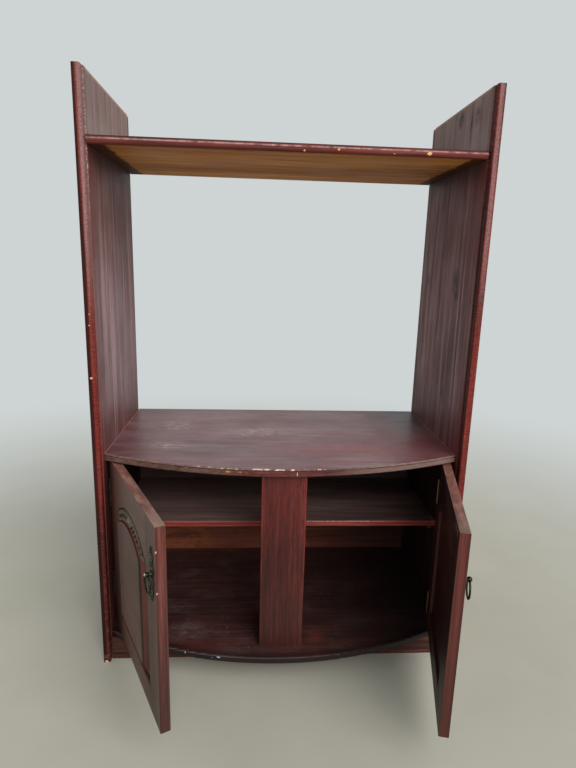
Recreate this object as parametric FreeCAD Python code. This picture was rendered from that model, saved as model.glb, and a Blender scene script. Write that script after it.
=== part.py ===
import FreeCAD, Part
import math
import os
from FreeCAD import Vector

# Display cabinet: two full-height sides, an open upper bay, and a bow-front cupboard with two doors.
# Frame: X to the right, Y to the back, Z up, origin at the centre of the plinth's foot on the floor.

# Overall sizes
cabinet_width = 1000.0
cabinet_height = 1550.0
cabinet_depth = 480.0

# Side panels: full thickness, and the shallow step that runs down both edges of the inner face
side_thickness = 22.0
edge_step_depth = 2.5
front_step_width = 20.0
rear_step_width = 27.0
front_nose_radius = 5.0

# Top shelf, set down from the top of the sides
top_shelf_drop = 146.0
top_shelf_thickness = 20.0
top_shelf_setback = 12.0
top_shelf_nose = 7.0

# Counter over the cupboard, with its bowed front
counter_height = 618.0
counter_thickness = 20.0
counter_corner_setback = 32.0
counter_bow = 111.0
counter_arris = 2.5

# Bottom board, also bowed, and the plinth board under it
plinth_height = 68.0
plinth_thickness = 19.0
plinth_setback = 15.0
bottom_thickness = 19.0
bottom_corner_setback = 20.0
bottom_bow = 121.0
bottom_arris = 4.0

# Centre stile between bottom board and counter
stile_width = 118.0
stile_thickness = 20.0
stile_projection = 54.0
stile_arris = 2.0

# Interior shelf and its cleats
shelf_height = 366.0
shelf_thickness = 18.0
shelf_setback = 140.0
shelf_arris = 2.0
cleat_height = 20.0
cleat_thickness = 15.0
cleat_front_inset = 25.0

# Thin back panel behind the cupboard, its batten and its nails
back_thickness = 4.0
batten_height = 30.0
batten_thickness = 18.0
nail_radius = 0.9
nail_head_radius = 2.2
nail_head_thickness = 0.8
nail_length = 18.0
nail_end_inset = 60.0
nail_count = 7

# Corner blocks behind the plinth, and the dowels that join boards to sides
block_size = 30.0
block_length = 60.0
block_inset = 110.0
dowel_radius = 4.0
dowel_length = 32.0
dowel_side_depth = 12.0
dowel_fit = 0.03
dowel_end_room = 1.0
dowel_front_inset = 75.0
dowel_rear_inset = 60.0
dowel_count = 3

# Doors: frame and raised panel; each closed door laps the centre stile
stile_lap = 9.4
door_thickness = 24.0
door_top_gap = 3.0
door_bottom_gap = 3.0
door_stile_width = 75.0
bottom_rail_width = 63.0
arch_crown_drop = 68.0
arch_spring_drop = 125.0
door_arris = 1.5
panel_edge_thickness = 6.0
panel_back_inset = 7.0
panel_groove_depth = 8.0
panel_groove_room = 1.5
panel_fit = 0.03
field_bevel = 41.0
field_arch_bevel = 2.0
field_rise = 19.0
field_crown_drop = 35.0
field_spring_drop = 11.0
band_thickness = 9.0
band_edge_gap = 3.0

# Door angles, in degrees from the cabinet's front line
left_door_angle = 64.0
right_door_angle = 76.0

# Butt hinges, whose centres are set in from the door's top and foot
hinge_height = 76.0
hinge_knuckle_radius = 3.2
hinge_leaf_thickness = 1.6
hinge_leaf_width = 21.0
hinge_pin_radius = 1.6
hinge_pin_fit = 0.05
hinge_knuckle_count = 5
hinge_knuckle_gap = 0.3
hinge_seat_gap = 0.2
hinge_front_stand = 1.0
hinge_setback = 59.0
hinge_tip_height = 2.5
upper_hinge_inset = 98.0
right_lower_hinge_inset = 46.0
left_lower_hinge_inset = 125.0
screw_head_radius = 3.0
screw_head_height = 1.2
screw_radius = 1.5
screw_length = 14.0
screw_hole_fit = 0.1
screw_row_shares = (0.16, 0.5, 0.84)
screw_line_share = 0.62

# Handle: back plate, ring post and hanging ring
plate_height = 130.0
plate_width = 34.0
plate_thickness = 2.5
plate_pin_share = 0.36
handle_drop = 121.0
handle_inset = 30.0
post_base_radius = 9.0
post_base_height = 2.0
post_neck_radius = 3.6
post_ball_radius = 6.2
post_ball_offset = 11.0
ring_outer_diameter = 48.0
ring_wire_radius = 2.3
ring_hole_room = 0.9
plate_pin_radius = 1.2
plate_pin_head_radius = 2.6
plate_pin_length = 12.0

# Magnetic catch and strike plate
catch_length = 46.0
catch_height = 13.0
catch_depth = 15.0
catch_inset = 18.0
catch_door_gap = 0.6
strike_length = 38.0
strike_height = 12.0
strike_thickness = 1.0
strike_top_inset = 9.0

# Clearances and cutting overrun
board_gap = 0.2
overrun = 5.0

# Derived places
front_y = -(plinth_setback + plinth_thickness / 2)
back_y = front_y + cabinet_depth
inner_x = cabinet_width / 2 - side_thickness
top_shelf_height = cabinet_height - top_shelf_drop
board_half = inner_x - board_gap
counter_underside = counter_height - counter_thickness
bottom_top = plinth_height + bottom_thickness
door_base = bottom_top + door_bottom_gap
door_height = counter_underside - door_top_gap - door_base
stile_front_y = front_y - stile_projection
hinge_axis_x = inner_x - hinge_seat_gap - hinge_knuckle_radius
hinge_axis_y = front_y + hinge_setback
hinge_edge_offset = hinge_seat_gap + hinge_knuckle_radius
upper_hinge_height = door_base + door_height - upper_hinge_inset
right_lower_hinge_height = door_base + right_lower_hinge_inset
left_lower_hinge_height = door_base + left_lower_hinge_inset

# Closed door: its inner face meets the front corner of the centre stile
closed_reach = hinge_front_stand + door_thickness
closed_across = hinge_axis_x - stile_width / 2
closed_ahead = hinge_axis_y - stile_front_y
closed_span = math.hypot(closed_across, closed_ahead)
closed_angle = math.degrees(math.atan2(closed_ahead, closed_across) + math.asin(closed_reach / closed_span))
door_width = math.sqrt(closed_span ** 2 - closed_reach ** 2) - hinge_edge_offset + stile_lap

# Handle and ring
ring_radius = ring_outer_diameter / 2 - ring_wire_radius
handle_place = door_width - handle_inset
handle_height = door_height - handle_drop

parts = {}


def box(x0, x1, y0, y1, z0, z1):
    """Return a box between two corners."""
    return Part.makeBox(x1 - x0, y1 - y0, z1 - z0, Vector(x0, y0, z0))


def cylinder(radius, start, end):
    """Return a cylinder from one point to another."""
    run = end - start
    return Part.makeCylinder(radius, run.Length, start, run)


def face_of(edges):
    """Return the flat face inside a ring of edges."""
    return Part.Face(Part.Wire(edges))


def line(a, b):
    """Return a straight edge."""
    return Part.LineSegment(a, b).toShape()


def arc(a, middle, b):
    """Return the circular edge through three points."""
    return Part.Arc(a, middle, b).toShape()


def group(solids):
    """Return one shape that keeps each solid separate."""
    return Part.makeCompound(solids)


def near_edges(shape, test):
    """Return the edges whose centre passes a test."""
    return [edge for edge in shape.Edges if test(edge.CenterOfMass)]


def side_panel():
    """Right-hand full-height side with a shallow step down both edges of its inner face."""
    outer = cabinet_width / 2
    nose = outer - side_thickness + edge_step_depth
    inner = inner_x
    step_front = front_y + front_step_width
    step_rear = back_y - rear_step_width
    outline = [(outer, front_y), (nose, front_y), (nose, step_front), (inner, step_front),
               (inner, step_rear), (nose, step_rear), (nose, back_y), (outer, back_y)]
    points = [Vector(x, y, 0) for x, y in outline]
    wire = Part.makePolygon(points + [points[0]])
    panel = Part.Face(wire).extrude(Vector(0, 0, cabinet_height))
    front_edges = [edge for edge in panel.Edges
                   if abs(edge.CenterOfMass.y - front_y) < edge_step_depth / 2
                   and abs(edge.BoundBox.ZLength - cabinet_height) < edge_step_depth]
    return panel.makeFillet(front_nose_radius, front_edges)


def bow_face(corner_setback, bow, rear_y, z):
    """Board outline with straight ends and a bowed front."""
    corner_y = front_y + corner_setback
    left = Vector(-board_half, corner_y, z)
    right = Vector(board_half, corner_y, z)
    apex = Vector(0, corner_y - bow, z)
    rear_left = Vector(-board_half, rear_y, z)
    rear_right = Vector(board_half, rear_y, z)
    return face_of([arc(left, apex, right), line(right, rear_right),
                    line(rear_right, rear_left), line(rear_left, left)])


def bow_board(corner_setback, bow, rear_y, z, thickness, arris):
    """Bowed board with both edges of its front softened."""
    board = bow_face(corner_setback, bow, rear_y, z).extrude(Vector(0, 0, thickness))
    corner_y = front_y + corner_setback
    front = near_edges(board, lambda c: c.y < corner_y - arris and abs(c.x) < arris)
    return board.makeFillet(arris, front)


def straight_board(front, rear, z0, thickness, nose):
    """Straight shelf with both edges of its front rounded."""
    board = box(-board_half, board_half, front, rear, z0, z0 + thickness)
    edges = near_edges(board, lambda c: abs(c.y - front) < nose / 2 and abs(c.x) < nose)
    return board.makeFillet(nose, edges)


def dowel_places(front, rear, count):
    """Places along the depth for a row of dowels."""
    first = front + dowel_front_inset
    last = rear - dowel_rear_inset
    return [first + (last - first) * index / (count - 1) for index in range(count)]


def dowel_row(z, places, grow=0.0, extra=0.0):
    """Dowels through both board ends at one height."""
    solids = []
    for side in (-1, 1):
        outer_end = inner_x + dowel_side_depth + extra
        inner_end = inner_x + dowel_side_depth - dowel_length - extra
        for y in places:
            solids.append(cylinder(dowel_radius + grow, Vector(side * inner_end, y, z),
                                   Vector(side * outer_end, y, z)))
    return solids


def cut_all(shape, tools):
    """Cut a list of tools out of a shape."""
    return shape.cut(group(tools))


# Boards
top_shelf = straight_board(front_y + top_shelf_setback, back_y, top_shelf_height - top_shelf_thickness,
                           top_shelf_thickness, top_shelf_nose)
counter = bow_board(counter_corner_setback, counter_bow, back_y, counter_underside,
                    counter_thickness, counter_arris)
bottom_rear_y = back_y - back_thickness - board_gap
bottom = bow_board(bottom_corner_setback, bottom_bow, bottom_rear_y, plinth_height,
                   bottom_thickness, bottom_arris)
shelf_front_y = front_y + shelf_setback
shelf = straight_board(shelf_front_y, bottom_rear_y, shelf_height - shelf_thickness,
                       shelf_thickness, shelf_arris)

# Dowels and their holes
dowel_rows = [
    (top_shelf_height - top_shelf_thickness / 2, front_y + top_shelf_setback, back_y),
    (counter_height - counter_thickness / 2, front_y + counter_corner_setback, back_y),
    (plinth_height + bottom_thickness / 2, front_y + bottom_corner_setback, bottom_rear_y),
]
dowels = []
dowel_holes = []
for row_z, row_front, row_rear in dowel_rows:
    row_places = dowel_places(row_front, row_rear, dowel_count)
    dowels += dowel_row(row_z, row_places)
    dowel_holes += dowel_row(row_z, row_places, dowel_fit, dowel_end_room)
top_shelf = cut_all(top_shelf, dowel_holes)
counter = cut_all(counter, dowel_holes)
bottom = cut_all(bottom, dowel_holes)

# Plinth board, centre stile and thin back panel
plinth = box(-board_half, board_half, front_y + plinth_setback,
             front_y + plinth_setback + plinth_thickness, 0, plinth_height)
stile = box(-stile_width / 2, stile_width / 2, stile_front_y, stile_front_y + stile_thickness,
            bottom_top, counter_underside)
stile_edges = near_edges(stile, lambda c: abs(c.y - stile_front_y) < stile_arris
                         and abs(abs(c.x) - stile_width / 2) < stile_arris)
stile = stile.makeFillet(stile_arris, stile_edges)
back_half = inner_x + edge_step_depth - board_gap
back_panel = box(-back_half, back_half, back_y - back_thickness, back_y, plinth_height, counter_underside)
batten = box(-board_half, board_half, back_y - back_thickness - board_gap - batten_thickness,
             back_y - back_thickness - board_gap, counter_underside - batten_height, counter_underside)

# Nails through the back panel into bottom board, interior shelf and batten
nails = []
nail_holes = []
nail_heights = (plinth_height + bottom_thickness / 2, shelf_height - shelf_thickness / 2,
                counter_underside - batten_height / 2)
for nail_z in nail_heights:
    for index in range(nail_count):
        nail_x = (board_half - nail_end_inset) * (2 * index / (nail_count - 1) - 1)
        head_start = Vector(nail_x, back_y, nail_z)
        head_end = Vector(nail_x, back_y + nail_head_thickness, nail_z)
        tip = Vector(nail_x, back_y - nail_length, nail_z)
        head = cylinder(nail_head_radius, head_start, head_end)
        nails.append(head.fuse(cylinder(nail_radius, tip, head_end)))
        hole_end = Vector(nail_x, back_y - nail_length - board_gap, nail_z)
        nail_holes.append(cylinder(nail_radius + dowel_fit, hole_end, head_end))
back_panel = cut_all(back_panel, nail_holes)
bottom = cut_all(bottom, nail_holes)
shelf = cut_all(shelf, nail_holes)
batten = cut_all(batten, nail_holes)

# Corner blocks in the angle of plinth and bottom board
blocks = []
block_front = front_y + plinth_setback + plinth_thickness
for block_centre in (-board_half + block_inset, 0, board_half - block_inset):
    corner = Vector(block_centre - block_length / 2, block_front, plinth_height)
    down = corner + Vector(0, 0, -block_size)
    back = corner + Vector(0, block_size, 0)
    wedge = Part.Face(Part.makePolygon([corner, down, back, corner]))
    blocks.append(wedge.extrude(Vector(block_length, 0, 0)))

parts["top_shelf"] = top_shelf
parts["counter_top"] = counter
parts["bottom_board"] = bottom
parts["interior_shelf"] = shelf
parts["plinth_board"] = plinth
parts["centre_stile"] = stile
parts["back_panel"] = back_panel
parts["back_batten"] = batten
parts["corner_blocks"] = group(blocks)
parts["board_dowels"] = group(dowels)
parts["back_panel_nails"] = group(nails)


def shelf_cleat(side):
    """Cleat under one end of the interior shelf."""
    start = shelf_front_y + cleat_front_inset
    top = shelf_height - shelf_thickness
    near, far = sorted((side * inner_x, side * (inner_x - cleat_thickness)))
    return box(near, far, start, bottom_rear_y, top - cleat_height, top)


def door_direction(angle):
    """Unit vectors of a right-hand door: along its width, and from outer to inner face."""
    turn = math.radians(angle)
    along = Vector(-math.cos(turn), -math.sin(turn), 0)
    inward = Vector(-math.sin(turn), math.cos(turn), 0)
    return along, inward


def place_door(shape, side, angle):
    """Move a shape from the door's own frame to the cabinet.

    In the door's own frame X runs from hinge edge to free edge, Y from outer to inner face,
    and Z up from the door's foot.
    """
    along, inward = door_direction(angle)
    axis = Vector(hinge_axis_x, hinge_axis_y, door_base)
    corner = axis + along * hinge_edge_offset + inward * hinge_front_stand
    up = Vector(0, 0, 1)
    mirrored = shape.mirror(Vector(0, 0, 0), Vector(0, 1, 0))
    turned = FreeCAD.Matrix(along.x, -inward.x, up.x, corner.x,
                            along.y, -inward.y, up.y, corner.y,
                            along.z, -inward.z, up.z, corner.z,
                            0, 0, 0, 1)
    placed = mirrored.copy()
    placed.Placement = FreeCAD.Placement(turned).multiply(placed.Placement)
    if side < 0:
        placed = placed.mirror(Vector(0, 0, 0), Vector(1, 0, 0))
    return placed


def arch_edges(x0, x1, spring_z, crown_z, y):
    """Arc from one springing point over the crown to the other."""
    middle = (x0 + x1) / 2
    return arc(Vector(x0, y, spring_z), Vector(middle, y, crown_z), Vector(x1, y, spring_z))


def arched_face(x0, x1, z0, spring_z, crown_z, y):
    """Flat face with a straight foot, straight sides and an arched top."""
    return face_of([arch_edges(x0, x1, spring_z, crown_z, y),
                    line(Vector(x1, y, spring_z), Vector(x1, y, z0)),
                    line(Vector(x1, y, z0), Vector(x0, y, z0)),
                    line(Vector(x0, y, z0), Vector(x0, y, spring_z))])


# Door opening inside the frame
opening_left = door_stile_width
opening_right = door_width - door_stile_width
opening_foot = bottom_rail_width
opening_spring = door_height - arch_spring_drop
opening_crown = door_height - arch_crown_drop
panel_front = door_thickness - panel_back_inset - panel_edge_thickness
panel_back = door_thickness - panel_back_inset
groove_left = opening_left - panel_groove_depth
groove_right = opening_right + panel_groove_depth
groove_foot = opening_foot - panel_groove_depth
groove_spring = opening_spring + panel_groove_depth
groove_crown = opening_crown + panel_groove_depth


def panel_groove():
    """Space that the panel's edge takes up in the frame."""
    face = arched_face(groove_left, groove_right, groove_foot, groove_spring, groove_crown,
                       panel_front - panel_fit)
    return face.extrude(Vector(0, panel_edge_thickness + 2 * panel_fit, 0))


def soft_outer_edges(board):
    """Soften the long outer edges that lie in the door's two faces."""
    def on_rim(c):
        at_face = min(abs(c.y), abs(c.y - door_thickness)) < door_arris / 2
        at_side = min(abs(c.x), abs(c.x - door_width)) < door_arris / 2
        at_end = min(abs(c.z), abs(c.z - door_height)) < door_arris / 2
        return at_face and (at_side or at_end)
    return board.makeFillet(door_arris, near_edges(board, on_rim))


def door_stile(x0):
    """Upright of the door frame, grooved for the panel."""
    board = box(x0, x0 + door_stile_width, 0, door_thickness, 0, door_height)
    return soft_outer_edges(board).cut(panel_groove())


def door_bottom_rail():
    """Bottom rail between the two uprights."""
    board = box(opening_left, opening_right, 0, door_thickness, 0, bottom_rail_width)
    return soft_outer_edges(board).cut(panel_groove())


def door_top_rail():
    """Top rail whose underside is the arch over the panel."""
    edges = [arch_edges(opening_left, opening_right, opening_spring, opening_crown, 0),
             line(Vector(opening_right, 0, opening_spring), Vector(opening_right, 0, door_height)),
             line(Vector(opening_right, 0, door_height), Vector(opening_left, 0, door_height)),
             line(Vector(opening_left, 0, door_height), Vector(opening_left, 0, opening_spring))]
    board = face_of(edges).extrude(Vector(0, door_thickness, 0))
    return soft_outer_edges(board).cut(panel_groove())


def field_outline(inset, arch_rise, y):
    """Outline of the raised field, drawn in by an inset, its arch moved up by a rise."""
    spring = opening_spring - field_spring_drop + arch_rise
    crown = opening_crown - field_crown_drop + arch_rise
    return arched_face(opening_left + inset, opening_right - inset, opening_foot + inset,
                       spring, crown, y).OuterWire


def door_panel():
    """Panel whose thin edge sits in the groove and whose middle rises to a flat field."""
    room = panel_groove_room
    sheet = arched_face(groove_left + room, groove_right - room, groove_foot + room,
                        groove_spring - room, groove_crown - room, panel_front)
    sheet = sheet.extrude(Vector(0, panel_edge_thickness, 0))
    base = field_outline(band_edge_gap, field_arch_bevel, panel_front)
    top = field_outline(field_bevel, 0, panel_front - field_rise)
    return sheet.fuse(Part.makeLoft([base, top], True, True)).removeSplitter()


def carved_band():
    """Arched band of applied carving between the arch of the rail and the raised field."""
    gap = band_edge_gap
    y = panel_front - band_thickness
    outer = arched_face(opening_left + gap, opening_right - gap, opening_foot, opening_spring - gap,
                        opening_crown - gap, y)
    lift = field_arch_bevel + gap
    inner = arched_face(opening_left, opening_right, opening_foot - gap,
                        opening_spring - field_spring_drop + lift,
                        opening_crown - field_crown_drop + lift, y)
    band = outer.extrude(Vector(0, band_thickness, 0))
    return band.cut(inner.extrude(Vector(0, band_thickness, 0)))


def knuckle_height(index):
    """Height of a knuckle's foot on the hinge."""
    return hinge_height * index / hinge_knuckle_count


def hinge_leaf(indices):
    """One hinge leaf in its own frame: axis on Z, leaf in the XZ plane side of the barrel."""
    radius = hinge_knuckle_radius
    far_y = hinge_knuckle_radius + hinge_leaf_width
    near_x = radius - hinge_leaf_thickness + hinge_seat_gap
    far_x = radius + hinge_seat_gap
    plate = box(near_x, far_x, 0, far_y, 0, hinge_height)
    barrel_room = radius + hinge_knuckle_gap
    leaf = plate
    for index in range(hinge_knuckle_count):
        z0 = knuckle_height(index)
        z1 = knuckle_height(index + 1)
        if index in indices:
            low = z0 + hinge_knuckle_gap / 2
            high = z1 - hinge_knuckle_gap / 2
            knuckle = cylinder(radius, Vector(0, 0, low), Vector(0, 0, high))
            web = box(0, far_x, 0, radius, low, high)
            leaf = leaf.fuse(knuckle.fuse(web))
        else:
            leaf = leaf.cut(box(-barrel_room, far_x + overrun, -barrel_room, barrel_room, z0, z1))
    pin_room = hinge_pin_radius + hinge_pin_fit
    leaf = leaf.cut(cylinder(pin_room, Vector(0, 0, -overrun), Vector(0, 0, hinge_height + overrun)))
    for row_share in screw_row_shares:
        leaf = leaf.cut(screw_space(row_share))
    return leaf.removeSplitter()


def screw_seat(row_share):
    """Centre of a screw head's outer face on the leaf, in the hinge's own frame."""
    across = hinge_knuckle_radius + hinge_leaf_width * screw_line_share
    return Vector(hinge_knuckle_radius + hinge_seat_gap - hinge_leaf_thickness, across,
                  hinge_height * row_share)


def screw_solid(row_share, grow):
    """Countersunk screw through the leaf, in the hinge's own frame."""
    seat = screw_seat(row_share)
    head = Part.makeCone(screw_head_radius + grow, screw_radius + grow, screw_head_height, seat,
                         Vector(1, 0, 0))
    return head.fuse(cylinder(screw_radius + grow, seat, seat + Vector(screw_length + grow, 0, 0)))


def screw_space(row_share):
    """Room that a screw takes up in leaf and wood."""
    return screw_solid(row_share, screw_hole_fit)


def to_frame_hinge(shape, z):
    """Place a hinge shape against the right-hand side panel."""
    moved = shape.copy()
    moved.translate(Vector(hinge_axis_x, hinge_axis_y, z - hinge_height / 2))
    return moved


def to_door_hinge(shape, z):
    """Place a hinge shape in the door's own frame, leaf against the hinge edge."""
    moved = shape.copy()
    moved.translate(Vector(-hinge_edge_offset, -hinge_front_stand, z - hinge_height / 2 - door_base))
    return moved


def hinge_pin():
    """Pin with a small tip at each end."""
    shaft = cylinder(hinge_pin_radius, Vector(0, 0, 0), Vector(0, 0, hinge_height))
    low = cylinder(hinge_knuckle_radius, Vector(0, 0, -hinge_tip_height), Vector(0, 0, 0))
    high = cylinder(hinge_knuckle_radius, Vector(0, 0, hinge_height),
                    Vector(0, 0, hinge_height + hinge_tip_height))
    return shaft.fuse(low).fuse(high)


def plate_solid():
    """Back plate: a round boss with waisted arms and small lobes at both ends."""
    half_height = plate_height / 2
    half_width = plate_width / 2
    centre = Vector(handle_place, 0, handle_height)
    depth = Vector(0, -plate_thickness, 0)
    lobe_shares = ((0.0, 0.62), (0.22, 0.95), (0.42, 0.6), (0.62, 0.78), (0.8, 0.45), (0.93, 0.28))
    radii = [(share * half_height, width * half_width) for share, width in lobe_shares]
    end_lobe = radii[-1]
    arm = half_width * lobe_shares[-1][1]
    plate = box(centre.x - arm, centre.x + arm, -plate_thickness, 0,
                centre.z - end_lobe[0], centre.z + end_lobe[0])
    for height, radius in radii:
        for way in (-1, 1):
            foot = centre + Vector(0, 0, way * height)
            plate = plate.fuse(cylinder(radius, foot, foot + depth))
    inside = box(centre.x - half_width, centre.x + half_width, -plate_thickness - overrun, overrun,
                 centre.z - half_height, centre.z + half_height)
    return plate.common(inside).removeSplitter()


def pin_places():
    """Centres of the two pins of the back plate."""
    reach = plate_height / 2 - plate_width * plate_pin_share
    return [Vector(handle_place, 0, handle_height + way * reach) for way in (-1, 1)]


def plate_pin(place, grow):
    """Round-headed pin that holds the back plate."""
    surface = place + Vector(0, -plate_thickness, 0)
    end = place + Vector(0, plate_pin_length + grow, 0)
    shaft = cylinder(plate_pin_radius + grow, surface, end)
    if grow > 0:
        return shaft
    dome = Part.makeSphere(plate_pin_head_radius, surface)
    keep = box(surface.x - overrun, surface.x + overrun, surface.y - overrun, surface.y,
               surface.z - overrun, surface.z + overrun)
    return shaft.fuse(dome.common(keep))


def ring_centre():
    """Centre of the eye in the ring post."""
    return Vector(handle_place, -post_ball_offset, handle_height)


def ring_post():
    """Post with a ball end, cross-drilled for the ring."""
    surface = Vector(handle_place, -plate_thickness, handle_height)
    base = cylinder(post_base_radius, surface, surface + Vector(0, -post_base_height, 0))
    hole_radius = ring_wire_radius + ring_hole_room
    neck_room = Vector(0, (hole_radius + post_ball_radius) / 2, 0)
    neck = cylinder(post_neck_radius, surface, ring_centre() + neck_room)
    ball = Part.makeSphere(post_ball_radius, ring_centre(), Vector(1, 0, 0))
    hole_run = Vector(post_ball_radius + overrun, 0, 0)
    hole = cylinder(hole_radius, ring_centre() - hole_run, ring_centre() + hole_run)
    return base.fuse(neck).fuse(ball).cut(hole).removeSplitter()


def hanging_ring():
    """Ring that hangs through the post's eye."""
    middle = ring_centre() - Vector(0, 0, ring_radius)
    return Part.makeTorus(ring_radius, ring_wire_radius, middle, Vector(0, 1, 0))


def strike_plate():
    """Thin strike plate on the door's inner face, near the top of its free edge."""
    end = door_width - catch_inset - (catch_length - strike_length) / 2
    top = door_height - strike_top_inset + (catch_height - strike_height) / 2
    low = top - strike_height
    return box(end - strike_length, end, door_thickness, door_thickness + strike_thickness, low, top)


def catch_body(side):
    """Magnetic catch under the counter, facing the closed door's inner face."""
    start = door_width - catch_inset - catch_length
    near = door_thickness + strike_thickness + catch_door_gap
    top = counter_underside - door_base
    solid = box(start, start + catch_length, near, near + catch_depth, top - catch_height, top)
    return place_door(solid, side, closed_angle)


def mirror_left(shape, side):
    """Mirror a right-hand shape when it goes on the left."""
    if side < 0:
        return shape.mirror(Vector(0, 0, 0), Vector(1, 0, 0))
    return shape


frame_knuckles = (0, 2, 4)
door_knuckles = (1, 3)


def make_side(side, word, angle, lower_hinge):
    """Make the side panel, cleat, hinges, door and handle of one side."""
    heights = (("upper", upper_hinge_height), ("lower", lower_hinge))
    frame_screws = []
    door_screws = []
    pins = []
    frame_spaces = []
    door_spaces = []
    for name, z in heights:
        frame_leaf = hinge_leaf(frame_knuckles)
        door_leaf = hinge_leaf(door_knuckles)
        parts[f"{word}_{name}_hinge_frame_leaf"] = mirror_left(to_frame_hinge(frame_leaf, z), side)
        parts[f"{word}_{name}_hinge_door_leaf"] = place_door(to_door_hinge(door_leaf, z), side, angle)
        pins.append(to_frame_hinge(hinge_pin(), z))
        for row_share in screw_row_shares:
            frame_screws.append(to_frame_hinge(screw_solid(row_share, 0), z))
            frame_spaces.append(to_frame_hinge(screw_space(row_share), z))
            door_screws.append(to_door_hinge(screw_solid(row_share, 0), z))
            door_spaces.append(to_door_hinge(screw_space(row_share), z))
    parts[f"{word}_hinge_pins"] = mirror_left(group(pins), side)
    parts[f"{word}_hinge_frame_screws"] = mirror_left(group(frame_screws), side)
    parts[f"{word}_hinge_door_screws"] = place_door(group(door_screws), side, angle)

    panel = cut_all(side_panel(), frame_spaces)
    parts[f"side_panel_{word}"] = mirror_left(cut_all(panel, dowel_holes), side)
    parts[f"shelf_cleat_{word}"] = shelf_cleat(side)
    parts[f"{word}_catch"] = catch_body(side)

    pin_holes = [plate_pin(place, dowel_fit) for place in pin_places()]
    plate_pins = [plate_pin(place, 0) for place in pin_places()]
    door_parts = {
        "door_hinge_stile": cut_all(door_stile(0), door_spaces),
        "door_lock_stile": cut_all(door_stile(opening_right), pin_holes),
        "door_top_rail": door_top_rail(),
        "door_bottom_rail": door_bottom_rail(),
        "door_panel": door_panel(),
        "door_carved_band": carved_band(),
        "handle_plate": cut_all(plate_solid(), pin_holes),
        "handle_pins": group(plate_pins),
        "ring_post": ring_post(),
        "ring": hanging_ring(),
        "strike_plate": strike_plate(),
    }
    for name, shape in door_parts.items():
        parts[f"{word}_{name}"] = place_door(shape, side, angle)


make_side(-1, "left", left_door_angle, left_lower_hinge_height)
make_side(1, "right", right_door_angle, right_lower_hinge_height)

print("closed door angle", round(closed_angle, 3), "door width", round(door_width, 3))
print("door height", door_height, "door foot", door_base)
print("hinge axis", hinge_axis_x, hinge_axis_y)
for word, side, angle in (("left", -1, left_door_angle), ("right", 1, right_door_angle)):
    marker = place_door(Part.Vertex(ring_centre()), side, angle)
    print(word, "ring eye", [round(value, 3) for value in marker.Point])

os.makedirs("parts", exist_ok=True)
for name, shape in parts.items():
    shape.exportStep(f"parts/{name}.step")
print(len(parts), "nodes")
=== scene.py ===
import math

import bpy
from mathutils import Matrix, Vector


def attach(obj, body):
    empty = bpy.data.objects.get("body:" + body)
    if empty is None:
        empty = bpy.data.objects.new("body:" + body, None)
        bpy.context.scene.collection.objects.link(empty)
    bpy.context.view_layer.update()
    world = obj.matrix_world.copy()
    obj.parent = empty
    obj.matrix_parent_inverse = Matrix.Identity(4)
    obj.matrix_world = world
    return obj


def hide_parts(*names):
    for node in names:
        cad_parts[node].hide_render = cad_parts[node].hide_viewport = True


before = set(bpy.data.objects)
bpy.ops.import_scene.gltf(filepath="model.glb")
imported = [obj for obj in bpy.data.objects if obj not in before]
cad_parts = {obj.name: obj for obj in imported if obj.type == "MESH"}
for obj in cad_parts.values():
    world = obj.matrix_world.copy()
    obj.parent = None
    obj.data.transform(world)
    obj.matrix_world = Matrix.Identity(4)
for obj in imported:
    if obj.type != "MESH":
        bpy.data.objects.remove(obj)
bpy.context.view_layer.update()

# Camera, solved from the photograph's edges
FOCAL_PIXELS = 540.654
PICTURE_HEIGHT = 768
SENSOR = 36.0
CAMERA_PLACE = (-0.083674, -1.379673, 1.130572)
YAW, PITCH, ROLL = 0.065324, 0.22357, 0.027705

# Sizes and places of the cabinet that the dressing follows, in metres
FRONT_Y = -0.0245
INNER_X, OUTER_X = 0.478, 0.5
STILE_HALF = 0.059
BOTTOM_FACE = 0.087
COUNTER_FACE = 0.618
SHELF_UNDER, SHELF_FACE = 1.384, 1.404
BOW_CENTRE, BOW_RADIUS = 0.87915, 1.00465
COUNTER_CENTRE, COUNTER_RADIUS = 0.98121, 1.08471

# Doors, in their own frame but for the hinge line and foot
HINGE_X, HINGE_Y, DOOR_FOOT = 0.4746, 0.0345, 0.090
HINGE_OFFSET, HINGE_STAND = 0.0034, 0.001
DOOR_WIDTH, DOOR_RECESS = 0.43596, 0.0164
STILE, RAIL = 0.075, 0.063
SPRING, CROWN = 0.380, 0.437
PANEL_FRONT, FIELD_FRONT, BAND_FRONT = 0.011, -0.008, 0.002
FIELD_HALF, FIELD_SPRING, FIELD_CROWN = 0.102, 0.369, 0.402
HANDLE_X, HANDLE_Z = DOOR_WIDTH - 0.030, 0.384
ANGLES = {"left": 64.0, "right": 76.0}
SIDES = {"left": -1, "right": 1}
HINGE_HEIGHTS = {"left": (0.406, 0.125), "right": (0.406, 0.046)}

# Colours as red, green and blue of 0-255; wood tones run from dark to light
RED_STAIN = ((48, 16, 15), (96, 34, 30), (132, 62, 54))
BROWN_STAIN = ((52, 27, 25), (98, 50, 44), (138, 84, 72))
COUNTER_STAIN = ((64, 34, 36), (98, 50, 51), (128, 78, 76))
BOTTOM_STAIN = ((32, 19, 18), (58, 36, 33), (84, 54, 49))
PLINTH_STAIN = ((38, 18, 16), (70, 34, 28), (98, 56, 46))
SHELF_STAIN = ((74, 52, 48), (116, 92, 86), (150, 124, 116))
SHELF_EDGE_STAIN = ((74, 24, 20), (150, 58, 50), (196, 104, 92))
DOOR_STAIN = ((44, 24, 22), (92, 48, 42), (130, 80, 70))
BEAD_STAIN = ((36, 20, 18), (88, 42, 36), (128, 72, 60))
CARVED_WOOD = ((30, 22, 16), (70, 54, 42), (108, 90, 68))
BACK_WOOD = ((92, 42, 30), (126, 64, 44), (150, 84, 60))
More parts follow.
